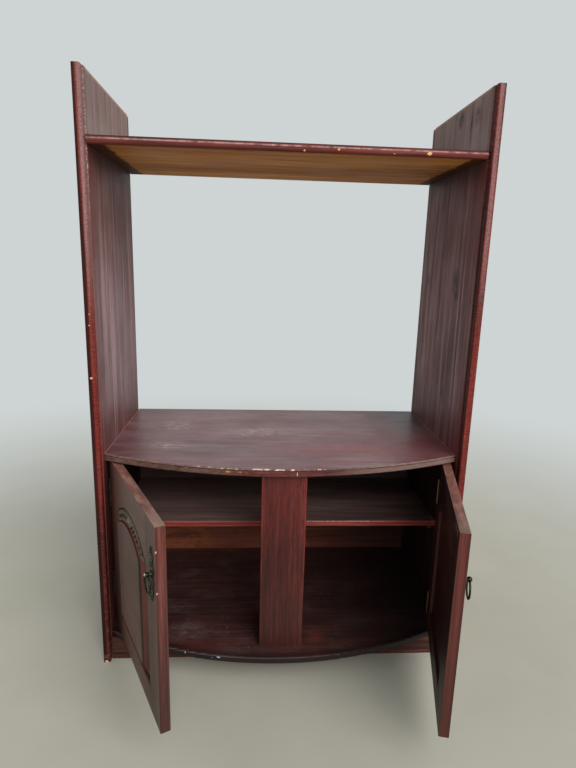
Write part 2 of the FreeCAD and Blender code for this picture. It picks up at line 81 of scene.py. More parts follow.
RAW_WOOD = ((120, 68, 28), (188, 121, 56), (216, 158, 92))
ASH = (98, 74, 66)
WORN = (182, 132, 106)
CHIP = (224, 180, 122)
CHALK = (204, 190, 186)
BACKDROP = (206, 212, 212)


def linear(tone):
    """Linear colour with alpha from red, green and blue of 0-255. A node's socket is passed on."""
    if isinstance(tone, bpy.types.NodeSocket):
        return tone
    shares = [value / 255 for value in tone]
    return (*[s / 12.92 if s <= 0.04045 else ((s + 0.055) / 1.055) ** 2.4 for s in shares], 1.0)


class Look:
    """Builds the nodes of one material, or of the world, with short calls.

    world is the place on the cabinet, and vector the place that the grain follows. colour and roughness are
    what the surface has so far.
    """

    def __init__(self, owner):
        self.owner = owner
        owner.use_nodes = True
        self.tree = owner.node_tree
        self.tree.nodes.clear()

    def node(self, kind, inputs=None, **settings):
        """Add a shader node, with its settings, and with a value or a link in each named input."""
        made = self.tree.nodes.new("ShaderNode" + kind)
        for key, value in settings.items():
            setattr(made, key, value)
        for key, value in (inputs or {}).items():
            if isinstance(value, bpy.types.NodeSocket):
                self.tree.links.new(value, made.inputs[key])
            else:
                made.inputs[key].default_value = value
        return made

    def math(self, operation, *values, clamp=False):
        """One step of arithmetic."""
        inputs = dict(enumerate(values))
        return self.node("Math", inputs, operation=operation, use_clamp=clamp).outputs[0]

    def along(self, operation, *values):
        """One step of vector arithmetic."""
        return self.node("VectorMath", dict(enumerate(values)), operation=operation).outputs

    def times(self, *values):
        """Product of all the values."""
        result = values[0]
        for value in values[1:]:
            result = self.math("MULTIPLY", result, value)
        return result

    def largest(self, *values):
        """Highest of the values."""
        result = values[0]
        for value in values[1:]:
            result = self.math("MAXIMUM", result, value)
        return result

    def away(self, value, centre=0.0):
        """How far a value is from a centre."""
        return self.math("ABSOLUTE", self.math("SUBTRACT", value, centre) if centre else value)

    def rest(self, share):
        """What a share leaves of one."""
        return self.math("SUBTRACT", 1.0, share, clamp=True)

    def mix(self, share, a, b):
        """Colour between two tones."""
        inputs = {0: share, 6: linear(a), 7: linear(b)}
        return self.node("Mix", inputs, data_type="RGBA", blend_type="MIX", clamp_factor=True).outputs[2]

    def over(self, colour, tone, *shares):
        """A colour with a tone laid over it, as strongly as the product of the shares says."""
        return self.mix(self.times(*shares), colour, tone)

    def paint(self, tone, *shares):
        """Lay a tone over the surface's own colour."""
        self.colour = self.over(self.colour, tone, *shares)

    def remap(self, value, low, high, out_low=0.0, out_high=1.0, smooth=False):
        """Straight slope from one range to another, held level past its ends."""
        inputs = {"Value": value, "From Min": low, "From Max": high, "To Min": out_low, "To Max": out_high}
        kind = "SMOOTHSTEP" if smooth else "LINEAR"
        return self.node("MapRange", inputs, interpolation_type=kind).outputs[0]

    def ease(self, value, low, high, out_low=0.0, out_high=1.0):
        """Like remap, with soft ends."""
        return self.remap(value, low, high, out_low, out_high, True)

    def fall(self, value, low, high):
        """Straight slope from one down to zero."""
        return self.remap(value, low, high, 1.0, 0.0)

    def fade(self, value, low, high):
        """Like fall, with soft ends."""
        return self.ease(value, low, high, 1.0, 0.0)

    def ramp(self, value, stops):
        """Colour from a list of places and tones."""
        made = self.node("ValToRGB", {0: value})
        ramp = made.color_ramp
        while len(ramp.elements) < len(stops):
            ramp.elements.new(0.5)
        for element, (place, tone) in zip(ramp.elements, stops):
            element.position = place
            element.color = linear(tone)
        return made.outputs[0]

    def place(self, vector, location=(0, 0, 0), turn=0.0, scale=(1, 1, 1), kind="POINT"):
        """Texture place moved, turned about Z and stretched."""
        inputs = {"Vector": vector, "Location": location, "Rotation": (0, 0, turn), "Scale": scale}
        return self.node("Mapping", inputs, vector_type=kind).outputs[0]

    def noise(self, scale, detail=4.0, rough=0.6, distortion=0.0, stretch=None, vector=None):
        """Cloudy values of about 0.3 to 0.7, on the cabinet's place or on a given vector."""
        vector = vector or self.world
        if stretch:
            vector = self.place(vector, scale=stretch)
        inputs = {"Vector": vector, "Scale": scale, "Detail": detail, "Roughness": rough,
                  "Distortion": distortion}
        return self.node("TexNoise", inputs).outputs[0]

    def patches(self, scale, low, high, out_low=0.0, out_high=1.0, **texture):
        """Remapped noise."""
        return self.remap(self.noise(scale, **texture), low, high, out_low, out_high)

    def ragged(self, value, amount, scale, **texture):
        """A value shaken by noise, for ragged borders."""
        return self.math("MULTIPLY_ADD", self.noise(scale, **texture), amount, value)

    def split(self, vector):
        """X, Y and Z of a vector."""
        return self.node("SeparateXYZ", {0: vector}).outputs

    def facing(self, axis, *slope):
        """Slope on the surface normal's part along one axis of the cabinet."""
        return self.remap(self.split(self.node("TexCoord").outputs["Normal"])[axis], *slope)

    def toward(self, way, *slope):
        """Slope on the surface normal's part along any direction."""
        normal = self.node("TexCoord").outputs["Normal"]
        return self.remap(self.along("DOT_PRODUCT", normal, tuple(way))["Value"], *slope)

    def rounded(self, radius):
        """Normal as if sharp edges had this radius."""
        return self.node("Bevel", {"Radius": radius}, samples=4).outputs[0]

    def edge(self, radius, low=0.02, high=0.2):
        """One near sharp edges and zero on flat faces."""
        normal = self.node("NewGeometry").outputs["Normal"]
        dot = self.along("DOT_PRODUCT", self.rounded(radius), normal)["Value"]
        return self.remap(self.math("SUBTRACT", 1.0, dot), low, high)

    def spot(self, centre, radii, low=0.75, high=1.05, vector=None):
        """One inside an ellipsoid about a point, zero outside."""
        offset = self.along("SUBTRACT", vector or self.world, centre)[0]
        scaled = self.along("MULTIPLY", offset, tuple(1 / radius for radius in radii))[0]
        return self.fall(self.along("LENGTH", scaled)["Value"], low, high)

    def plan_reach(self, x, y, centre):
        """Distance in plan from a bow's centre on the cabinet's middle line."""
        flat = self.node("CombineXYZ", {0: x, 1: self.math("SUBTRACT", y, centre)}).outputs[0]
        return self.along("LENGTH", flat)["Value"]

    def seen(self):
        """One for rays of the camera, mirrors and glass, which see the backdrop."""
        path = self.node("LightPath").outputs
        return self.largest(path["Is Camera Ray"], path["Is Glossy Ray"], path["Is Transmission Ray"])

    def finish(self, height, bump, depth, round_edge=0.0, **sockets):
        """Surface with bumps of a height, over edges that look rounded where round_edge is given."""
        bump_inputs = {"Strength": bump, "Distance": depth, "Height": height}
        if round_edge:
            bump_inputs["Normal"] = self.rounded(round_edge)
        normal = self.node("Bump", bump_inputs).outputs[0]
        inputs = {"Base Color": self.colour, "Roughness": self.roughness, "Normal": normal, **sockets}
        surface = self.node("BsdfPrincipled", inputs)
        self.node("OutputMaterial", {0: surface.outputs[0]})
        return self.owner


def new_look(name, local=None):
    """Look of a new material. local is the corner and turn of a board that isn't square to the cabinet."""
    look = Look(bpy.data.materials.new(name))
    look.world = look.node("TexCoord").outputs["Object"]
    look.vector = look.world
    if local:
        look.vector = look.place(look.world, location=local[0], turn=local[1], kind="TEXTURE")
    return look


def grain(look, axis, seed, tones, cross=110.0, along=3.2, spread=1.0, ash=0.0):
    """Streaky stained grain along one axis; returns colour and pore height."""
    offset = (seed * 1.37, seed * 0.71, seed * 2.13)
    scale = [1.0, 1.0, 1.0]
    scale[axis] = along / cross
    stretched = look.place(look.vector, location=offset, scale=tuple(scale))
    scale[axis] = 0.16
    wide = look.place(look.vector, location=offset, scale=tuple(scale))
    broad = look.noise(7.0, 3.0, 0.5, 0.4, vector=wide)
    streak = look.noise(cross, 5.0, 0.62, 0.25, vector=stretched)
    fine = look.noise(cross * 5.0, 2.0, vector=stretched)
    value = 0.5
    for layer, weight in ((streak, 1.1), (broad, 0.8), (fine, 0.5)):
        value = look.math("MULTIPLY_ADD", look.math("SUBTRACT", layer, 0.5), weight * spread, value)
    dark, middle, light = tones
    colour = look.ramp(value, [(0.30, dark), (0.5, middle), (0.70, light)])
    lines = look.patches(cross * 2.6, 0.56, 0.68, 0.0, 0.4, detail=2.0, rough=0.5, vector=stretched)
    colour = look.over(colour, dark, lines)
    if ash:
        bloom = look.place(wide, location=(3.0, 1.0, 2.0))
        colour = look.over(colour, ASH, look.patches(24.0, 0.40, 0.62, 0.0, ash, vector=bloom))
    return colour, look.math("ADD", look.times(fine, 0.6), look.times(streak, 0.4))


def wood(name, axis, tones, seed, extras=None, local=None, gloss=0.46, wear=0.8, wear_tone=WORN, spread=1.0,
         coat=0.06, gleam=0.25, cross=110.0, ash=0.0):
    """Stained wood, worn along its edges, with the extras of one piece painted over it."""
    look = new_look(name, local)
    look.colour, pores = grain(look, axis, seed, tones, spread=spread, cross=cross, ash=ash)
    rubbed = look.place(look.vector, location=(seed, 2.0, seed))
    look.paint(wear_tone, look.edge(0.0016),
               look.patches(26.0, 0.44, 0.62, 0.0, wear, detail=5.0, vector=rubbed))
    look.roughness = look.patches(9.0, 0.3, 0.7, gloss - 0.07, gloss + 0.1, vector=look.vector)
    if extras:
        extras(look)
    return look.finish(pores, 0.3, 0.0006, 0.0012,
                       **{"Coat Weight": coat, "Coat Roughness": 0.3, "Specular IOR Level": gleam})


def dress(material, *nodes):
    """Give CAD nodes one material."""
    for node in nodes:
        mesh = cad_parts[node].data
        mesh.materials.clear()
        mesh.materials.append(material)


# Chips: small bare spots, each with its place and its half sizes

def chip_row(y, depth, rows):
    """Chips on a face at one y, from rows of x, z and the half sizes along them."""
    return [((x, y, z), (wide, depth, high)) for x, z, wide, high in rows]


LEFT_NOSE_CHIPS = chip_row(FRONT_Y, 0.006, [(-0.4905, 0.8300, 0.0034, 0.0026),
                                            (-0.4890, 0.9630, 0.0018, 0.0018),
                                            (-0.4880, 0.9900, 0.0012, 0.0016),
                                            (-0.4905, 0.0030, 0.0045, 0.0040)])
SHELF_CHIPS = chip_row(-0.0125, 0.004, [(0.030, 1.3870, 0.0030, 0.0018), (0.1117, 1.3922, 0.0034, 0.0026),
                                        (0.332, 1.3915, 0.0062, 0.0044), (0.245, 1.3880, 0.0026, 0.0012),
                                        (-0.045, 1.3960, 0.0014, 0.0014)])
COUNTER_BARE = [((-0.1435, -0.078, 0.6090), (0.012, 0.02, 0.0044)),
                ((-0.1150, -0.081, 0.6085), (0.007, 0.02, 0.0024)),
                ((-0.0980, -0.083, 0.6075), (0.004, 0.02, 0.0018)),
                ((-0.2520, -0.062, 0.6120), (0.003, 0.02, 0.0012))]
COUNTER_PALE = [((-0.0700, -0.0990, 0.6178), (0.016, 0.0030, 0.0020)),
                ((-0.0480, -0.1005, 0.6178), (0.008, 0.0034, 0.0020)),
                ((-0.0180, -0.1022, 0.6178), (0.009, 0.0028, 0.0016)),
                ((0.0180, -0.1025, 0.6178), (0.005, 0.0026, 0.0012)),
                ((0.0860, -0.0990, 0.6178), (0.005, 0.0026, 0.0012)),
                ((0.0300, -0.1030, 0.6060), (0.0009, 0.006, 0.0060))]
BOTTOM_MARKS = [((-0.1680, -0.1080, 0.0815), (0.0055, 0.02, 0.0026)),
                ((-0.2600, -0.0880, 0.0820), (0.0014, 0.02, 0.0036))]
DOOR_CHIPS = ((0.5380, (0.0030, 0.0030, 0.0028)), (0.4430, (0.0024, 0.0024, 0.0028)))

# Knots on the right side's inner face: y and z, half sizes along them, and where their border begins
RIGHT_KNOTS = [((0.123, 1.495), (0.008, 0.048), 0.3),
               ((0.200, 1.520), (0.024, 0.024), 0.4),
               ((0.085, 1.506), (0.030, 0.030), 0.0),
               ((0.128, 1.086), (0.034, 0.040), 0.2),
               ((0.120, 1.050), (0.020, 0.020), 0.2),
               ((0.378, 1.080), (0.020, 0.022), 0.1),
               ((0.153, 0.760), (0.024, 0.034), 0.1)]


def chips(look, places, tone):
    """Bare chips with ragged edges at fixed places."""
    push = 0.007
    shake = look.node("TexNoise", {"Vector": look.world, "Scale": 240.0, "Detail": 3.0})
    pushed = look.along("MULTIPLY_ADD", shake.outputs[1], (push, push, push), look.world)[0]
    spots = [look.spot(tuple(value + push / 2 for value in place), radii, vector=pushed)
             for place, radii in places]
    look.paint(tone, look.largest(*spots))


# Extras: what each piece has beyond plain stained wood

def side_nose(look, x, z, left):
    """Red front nose of a side, brighter above the counter, with a pale stripe of painted sheen and worn
    speckle, and a dark stripe of painted shade and darker stain further up.
    """
    red, _ = grain(look, 2, 7.0, RED_STAIN, spread=0.8)
    red = look.over(red, (130, 40, 30), look.ease(z, 0.42, 0.56), look.fade(z, 0.85, 1.1),
                    0.45 if left else 0.35)
    red = look.over(red, (44, 22, 20), look.ease(z, 0.36, 0.52, 0.62, 0.0))
    # Pale ticks along the nose: painted glints on small bumps.
    ticks = look.patches(300.0, 0.46, 0.62, 0.0, 0.28, detail=2.0, stretch=(0.15, 0.15, 1.0))
    red = look.over(red, (160, 92, 82), ticks)
    across = look.remap(look.away(x), INNER_X, OUTER_X)
    # pale is where the nose gets its painted sheen; dark is painted shade on the nose's side away from the
    # light, together with darker stain.
    if left:
        pale = look.fade(across, 0.38, 0.56)
        shift = look.ease(z, 1.12, 1.34, -0.14, 0.0)
        dark = look.ease(look.math("SUBTRACT", across, shift), 0.54, 0.74, 0.0, 0.9)
    else:
        pale = look.times(look.ease(across, 0.22, 0.40), look.ease(across, 0.66, 0.84, 0.8, 0.0))
        dark = look.times(look.ease(across, 0.10, 0.30, 0.75, 0.0), look.ease(z, 1.25, 1.42, 1.0, 0.4))
    speckle = look.patches(290.0, 0.36, 0.62, 0.2, 0.9, detail=3.0, rough=0.7)
    # Pale stripe on the nose's rounding: painted sheen, with worn speckle in it.
    red = look.over(red, (172, 146, 144), pale, look.ease(z, 0.94, 1.22), speckle, 0.62)
    # Dark stripe: painted shade together with darker stain.
    return look.over(red, (42, 18, 17), dark)


def side_streaks(look, y, left):
    """Streaks along a side's grain, and a steady tone for each glued board. Returns the streaks' place."""
    tall = look.place(look.world, location=(0.0, -3.0 if left else 3.0, 0.0), scale=(1.0, 1.0, 0.035))
    stops = [(0.39, (66, 38, 36)), (0.5, (127, 88, 86)), (0.61, (187, 150, 149))]
    look.paint(look.ramp(look.noise(46.0, rough=0.72, vector=tall), stops), 0.72)
    board_width, first_board = 0.094, 3.3
    index = look.math("FLOOR", look.math("MULTIPLY_ADD", y, 1 / board_width, first_board))
    board = look.node("TexWhiteNoise", {"W": index}, noise_dimensions="1D").outputs[0]
    look.paint((64, 40, 39), look.remap(board, 0.0, 1.0, 0.0, 0.3))
    return tall


def side_inner_face(look, tall, y, z, indoors, left):
    """Stain, dust, painted shade and painted sheen of a side's inner face, zone by zone from the bay to its
    front.
    """
    below = look.times(look.fall(z, SHELF_UNDER, SHELF_UNDER + 0.006), indoors)
    # Reddish painted shade below the top shelf, and a darker painted shadow just under it.
    look.paint((104, 52, 44), look.ease(z, 0.98, 1.26, 0.0, 0.62), look.ease(y, 0.02, 0.40, 1.0, 0.45), below)
    look.paint((50, 22, 20), look.ease(z, 1.31, SHELF_UNDER, 0.0, 0.75), below)
    # Pale bloom: dust, with a painted sheen, stronger on the left side, which faces the light.
    look.paint((176, 154, 160), look.patches(5.0, 0.38, 0.62, 0.4, 1.0), look.ease(z, 0.62, 0.74, 0.3, 1.0),
               look.fade(z, 0.95, 1.25), 0.36 if left else 0.12)
    stained = look.place(tall, location=(4.0, 1.0, 0.0))
    look.paint((84, 38, 38), look.ease(z, 0.64, 0.80, 0.6 if left else 0.75, 0.0), indoors,
               look.patches(70.0, 0.40, 0.60, 0.45, 1.0, rough=0.7, vector=stained))
    # Nearly black inside the cupboard below the counter: painted shade.
    look.paint((26, 17, 16), look.remap(z, 0.592, 0.600, 0.85, 0.0), look.remap(y, -0.005, 0.04, 0.3, 1.0),
               indoors)
    above = look.times(look.remap(z, SHELF_FACE, SHELF_FACE + 0.008), indoors)
    look.paint((158, 136, 128), above, 0.5)
    look.paint((166, 152, 146), look.ease(z, 1.41, 1.49, 0.5, 0.0), look.ease(y, 0.20, 0.34, 1.0, 0.2),
               look.patches(16.0, 0.36, 0.6, 0.5, 1.0), above)
    if not left:
        knots = [look.spot((INNER_X, *place), (0.02, *radii), border, 1.1)
                 for place, radii, border in RIGHT_KNOTS]
        look.paint((38, 22, 21), look.largest(*knots),
                   look.patches(60.0, 0.35, 0.55, 0.35, 1.0, rough=0.7), 0.9)
    look.paint((84, 62, 60), look.fall(y, FRONT_Y + 0.028, FRONT_Y + 0.036),
               look.ease(z, 1.0, 1.25, 0.0, 0.4))
    look.paint((112, 44, 38), look.fall(y, FRONT_Y + 0.03, FRONT_Y + 0.085), below,
               look.largest(look.ease(z, 1.0, 1.25, 0.0, 0.55), look.ease(z, 0.75, 1.15, 0.5, 0.15)))


def side_extras(word):
    """Side panel: streaks, an inner face in zones, a redder front nose, and a worn top and foot."""
    left = word == "left"

    def extras(look):
        x, y, z = look.split(look.world)
        away = look.away(x)
        indoors = look.fall(away, INNER_X + 0.001, INNER_X + 0.002)
        tall = side_streaks(look, y, left)
        look.paint((88, 46, 41), look.rest(indoors), 0.5)
        side_inner_face(look, tall, y, z, indoors, left)
        look.paint(side_nose(look, x, z, left), look.fall(y, FRONT_Y + 0.019, FRONT_Y + 0.0215))
        line = look.fall(look.away(y, FRONT_Y + 0.0215), 0.001, 0.005)
        inner = look.fall(away, INNER_X + 0.004, INNER_X + 0.0055)
        look.paint(CHALK, line, inner, look.patches(210.0, 0.50, 0.62, detail=3.0, rough=0.7),
                   look.ease(z, 1.15, 1.40, 0.0, 1.0 if left else 0.25), 0.85)
        top = look.remap(look.ragged(z, 0.006, 50.0, rough=0.65), 1.5470, 1.5490)
        look.paint((190, 152, 126), top, look.remap(y, FRONT_Y + 0.03, FRONT_Y + 0.04),
                   look.facing(2, 0.6, 0.95, 0.75, 0.22))
        look.paint(WORN, look.fall(z, 0.0, 0.03), look.patches(70.0, 0.5, 0.6, rough=0.65), 0.7)
        if left:
            chips(look, LEFT_NOSE_CHIPS, (226, 186, 156))
    return extras


def top_shelf_extras(look):
    """Unstained underside of the top shelf, darker at its ends with painted shadow of the sides, and its
    chipped nose with a painted highlight.
    """
    x, y, z = look.split(look.world)
    raw, _ = grain(look, 0, 3.0, RAW_WOOD, cross=70.0, along=1.6, spread=0.9)
    raw = look.over(raw, (174, 120, 74), look.patches(14.0, 0.40, 0.64, 0.0, 0.6, stretch=(0.35, 1.0, 1.0)))
    # Dark ends of the underside: painted shadow of the sides.
    ends = look.ragged(look.away(x), 0.03, 30.0)
    raw = look.over(raw, (60, 26, 22), look.ease(ends, 0.450, 0.462, 0.0, 0.9))
    under = look.times(look.facing(2, -0.97, -0.9, 1.0, 0.0),
                       look.remap(y, FRONT_Y + 0.019, FRONT_Y + 0.024))
    look.paint(raw, under)
    red, _ = grain(look, 0, 4.0, RED_STAIN, spread=0.8)
    front = look.rest(look.largest(look.facing(2, 0.9, 0.97), under))
    look.paint(look.over(red, (124, 92, 86), 0.18), front)
    # Pale line along the middle of the nose: painted highlight.
    crown = look.fall(look.away(z, SHELF_UNDER + 0.0125), 0.0004, 0.0026)
    look.paint((192, 156, 152), crown, look.patches(60.0, 0.35, 0.6, 0.15, 0.85), front)
    look.paint((52, 24, 24), look.remap(z, SHELF_FACE - 0.0035, SHELF_FACE - 0.0015), front, 0.7)
    chips(look, SHELF_CHIPS, CHIP)


def counter_extras(look):
    """Dusty scuffs and pale joint lines on the counter, a top darker near the sides with a painted reflection
    of them, a rough front edge with a painted reflection towards its ends, and flakes along its arris.
    """
    x, y, z = look.split(look.world)
    up = look.facing(2, 0.85, 0.97)
    red, _ = grain(look, 0, 9.0, RED_STAIN, spread=0.9)
    # Greyish tan towards both ends of the front edge: painted reflection.
    edge_reflection_tone = look.mix(look.remap(x, 0.0, 0.3), (112, 88, 76), (134, 110, 102))
    red = look.over(red, edge_reflection_tone, look.ease(look.away(x, 0.01), 0.08, 0.22, 0.0, 0.8))
    flaws = look.patches(120.0, 0.46, 0.60, 0.0, 0.6, rough=0.7, stretch=(0.5, 1.0, 1.6))
    red = look.over(red, (52, 32, 28), flaws, look.ease(x, 0.05, 0.25, 1.0, 0.25))
    look.paint(red, look.rest(up))

    def oval(place, reach, border=0.2):
        return look.spot((*place, COUNTER_FACE), reach, border, 1.0)

    dust = look.patches(9.0, 0.42, 0.64, 0.06, 0.5, detail=6.0, rough=0.66, stretch=(0.45, 1.8, 1.0))
    dust = look.times(dust, up)
    look.paint((160, 140, 142), dust)
    smear = look.noise(16.0, 5.0, 0.64, stretch=(0.22, 2.2, 1.0))
    look.paint((124, 46, 50), look.remap(smear, 0.50, 0.64, 0.0, 0.7), look.remap(x, 0.0, 0.42, 0.3, 1.0), up)
    look.paint((104, 42, 43), oval((0.37, 0.10), (0.20, 0.19, 0.1), 0.35), up,
               look.remap(smear, 0.42, 0.58, 0.45, 0.85))
    scuffs = look.largest(oval((-0.32, 0.26), (0.09, 0.06, 0.05)), oval((-0.33, 0.08), (0.08, 0.05, 0.05)),
                          oval((-0.08, 0.20), (0.12, 0.06, 0.05)))
    look.paint((190, 172, 168), scuffs, up,
               look.patches(60.0, 0.46, 0.62, 0.0, 0.5, detail=5.0, rough=0.7, stretch=(0.7, 1.6, 1.0)))
    # Darker towards each side: painted reflection of the dark side panels.
    look.paint((88, 42, 43), look.ease(x, 0.275, 0.315, 0.0, 0.5), up)
    look.paint((84, 44, 46), look.ease(x, -0.385, -0.335, 0.34, 0.0), up)
    look.paint((134, 58, 60), oval((0.16, 0.04), (0.26, 0.10, 0.1)), up,
               look.remap(smear, 0.40, 0.60, 0.15, 0.6))
    # Dark patch at the right rear: painted reflection of the dark right side.
    look.paint((50, 30, 32), oval((0.46, 0.40), (0.16, 0.20, 0.1), 0.3), up, 0.70)
    look.paint((172, 120, 110), look.remap(look.away(x), INNER_X - 0.0032, INNER_X - 0.0018), up, 0.7)
    gully = look.remap(look.away(z, COUNTER_FACE - 0.0045), 0.0006, 0.0020, 0.8, 0.0)
    look.paint((46, 22, 22), gully, look.patches(34.0, 0.38, 0.58, 0.4, 1.0))
    reach = look.plan_reach(x, y, COUNTER_CENTRE)
    look.paint((222, 200, 186),
               look.patches(190.0, 0.54, 0.62, 0.0, 0.85, rough=0.72, stretch=(0.45, 1.0, 1.0)),
               look.ease(look.away(x, -0.07), 0.10, 0.20, 1.0, 0.15),
               look.remap(reach, COUNTER_RADIUS - 0.0040, COUNTER_RADIUS - 0.0030),
               look.remap(z, 0.6150, 0.6158))
    chips(look, COUNTER_BARE, (206, 150, 66))
    chips(look, COUNTER_PALE, (226, 204, 186))
    look.roughness = look.math("ADD", look.roughness, look.times(dust, 0.3))


def bottom_extras(look):
    """Scuffed bottom board, red streaks near its dark rim, an orange-brown strip at its back, painted shade
    towards its right, and a few pale marks.
    """
    x, y, z = look.split(look.world)
    dust = look.patches(10.0, 0.50, 0.68, 0.0, 0.32, detail=5.0, rough=0.65, stretch=(1.0, 1.6, 1.0))
    look.paint((108, 92, 86), dust, look.ease(x, -0.35, 0.05, 1.0, 0.4))
    fan = look.noise(70.0, rough=0.7, vector=look.place(look.world, turn=0.5, scale=(0.5, 2.0, 1.0)))
    scuffed = look.spot((-0.27, -0.01, 0.09), (0.09, 0.05, 0.05), 0.2, 1.0)
    look.paint((132, 120, 114), scuffed, look.remap(fan, 0.47, 0.64, 0.0, 0.4))
    smear = look.noise(13.0, stretch=(0.5, 1.8, 1.0))
    look.paint((88, 34, 30), look.remap(smear, 0.5, 0.62, 0.0, 0.4), look.fade(y, -0.09, 0.12))
    # Darker towards the right: painted shade.
    look.paint((34, 26, 25), look.ease(x, 0.10, 0.30, 0.0, 0.5))
    orange = look.spot((0.100, -0.042, 0.09), (0.035, 0.045, 0.03), 0.2, 1.0)
    look.paint((112, 50, 36), orange, look.remap(smear, 0.42, 0.58, 0.15, 0.5))
    # Orange-brown strip with a wavy edge at the back.
    rear = look.ragged(y, 0.06, 24.0, stretch=(0.5, 1.0, 1.0))
    look.paint((122, 68, 40), look.remap(rear, 0.462, 0.470), look.ease(x, -0.22, 0.0, 0.7, 0.15))
    reach = look.plan_reach(x, y, BOW_CENTRE)
    look.paint((30, 19, 18), look.ease(reach, BOW_RADIUS - 0.030, BOW_RADIUS - 0.008, 0.0, 0.6))
    look.paint((28, 17, 16), look.facing(2, 0.3, 0.8, 0.85, 0.0))
    look.paint((150, 96, 84), look.edge(0.0022, 0.02, 0.12), look.remap(z, BOTTOM_FACE, BOTTOM_FACE + 0.0015),
               look.remap(smear, 0.4, 0.6, 0.1, 0.6))
    chips(look, BOTTOM_MARKS, (150, 152, 176))
    look.paint(CHALK, look.patches(200.0, 0.73, 0.76, 0.0, 0.4, detail=2.0, rough=0.5))


def inner_shelf_extras(look):
    """Shelf inside: a red front edge with a painted highlight on its arris and painted shade under it,
    painted shade towards its rear and at its right, and painted light at its left.
    """
    x, y, z = look.split(look.world)
    red, _ = grain(look, 0, 6.0, SHELF_EDGE_STAIN, spread=0.7)
    # Darker along the edge's lower part: painted shade.
    red = look.over(red, (72, 28, 26), look.remap(z, 0.3485, 0.3525, 0.6, 0.0))
    look.paint(red, look.facing(1, -0.75, -0.3, 1.0, 0.0))
    # Pale line on the front edge's top arris: painted highlight.
    front = look.times(look.remap(z, 0.3615, 0.3635), look.fall(y, 0.1170, 0.1185))
    ticks = look.patches(190.0, 0.42, 0.60, 0.2, 1.0, detail=2.0, stretch=(1.0, 0.1, 0.1))
    look.paint((196, 148, 146), look.largest(front, look.edge(0.003, 0.02, 0.14)),
               look.ease(look.away(x, 0.15), 0.10, 0.24, 1.0, 0.1), ticks, 0.9)
    # Darker towards the rear of the cupboard: painted shade.
    look.paint((34, 26, 26), look.ease(y, 0.20, 0.40, 0.0, 0.5))
    # Top paler at the left, painted light; darker at the right and underneath, painted shade.
    up = look.facing(2, 0.6, 0.9)
    look.paint((170, 138, 128), up, look.remap(x, -0.10, 0.0, 0.22, 0.0))
    look.paint((40, 26, 26), up, look.ease(x, 0.0, 0.3, 0.0, 0.35))
    look.paint((36, 22, 20), look.facing(2, -0.9, -0.6, 0.7, 0.0))


def stile_extras(look):
    """Centre stile: brighter red above with orange arrises, darker towards the foot."""
    x, _, z = look.split(look.world)
    look.paint((112, 42, 37), look.ease(z, 0.30, 0.56, 0.0, 0.4))
    lines = look.noise(230.0, 5.0, 0.75, 0.8, stretch=(1.0, 1.0, 0.09))
    look.paint((48, 22, 19), look.remap(lines, 0.47, 0.60, 0.0, 0.6))
    look.paint((50, 29, 25), look.ease(z, 0.12, 0.54, 0.72, 0.0))
    arris = look.remap(look.away(x), STILE_HALF - 0.005, STILE_HALF - 0.002, 0.0, 0.5)
    look.paint((158, 74, 58), arris, look.ease(z, 0.16, 0.44, 0.15, 1.0),
               look.patches(60.0, 0.38, 0.6, 0.15, 1.0, stretch=(1.0, 1.0, 0.3)))


def door_matrix(word):
    """Matrix from a door's own frame to the cabinet: X to the free edge, Y inwards, Z up."""
    side = SIDES[word]
    turn = math.radians(ANGLES[word])
    along = Vector((-side * math.cos(turn), -math.sin(turn), 0))
    inward = Vector((-side * math.sin(turn), math.cos(turn), 0))
    corner = Vector((side * HINGE_X, HINGE_Y, DOOR_FOOT)) + along * HINGE_OFFSET + inward * HINGE_STAND
    matrix = Matrix((along, inward, Vector((0, 0, 1)))).transposed().to_4x4()
    matrix.translation = corner
    return matrix


def door_local(word):
    """Corner and turn of a door's own frame, for textures."""
    matrix = door_matrix(word)
    return tuple(matrix.translation), math.atan2(matrix[1][0], matrix[0][0])


def field_tone(look, z, depth, height):
    """Paint the red bevel and a dark line of painted shadow round a panel's raised field, and return the
    field's own tone with a painted highlight on its edge.
    """
    red = look.mix(look.remap(z, 0.2, 0.5), (70, 28, 27), (112, 48, 44))
    look.paint(red, look.remap(depth, FIELD_FRONT + 0.0012, FIELD_FRONT + 0.0034), 0.8)
    # Dark line round the field: painted shadow.
    look.paint((20, 11, 10), look.remap(look.away(depth, FIELD_FRONT + 0.0026), 0.0010, 0.0019, 0.9, 0.0))
    tone = look.mix(height, (76, 54, 46), (88, 66, 58))
    # Pale edge of the field: painted highlight.
    return look.over(tone, (150, 136, 118), look.edge(0.0030, 0.004, 0.03),
                     look.remap(depth, FIELD_FRONT + 0.0003, FIELD_FRONT + 0.0009, 0.75, 0.0))


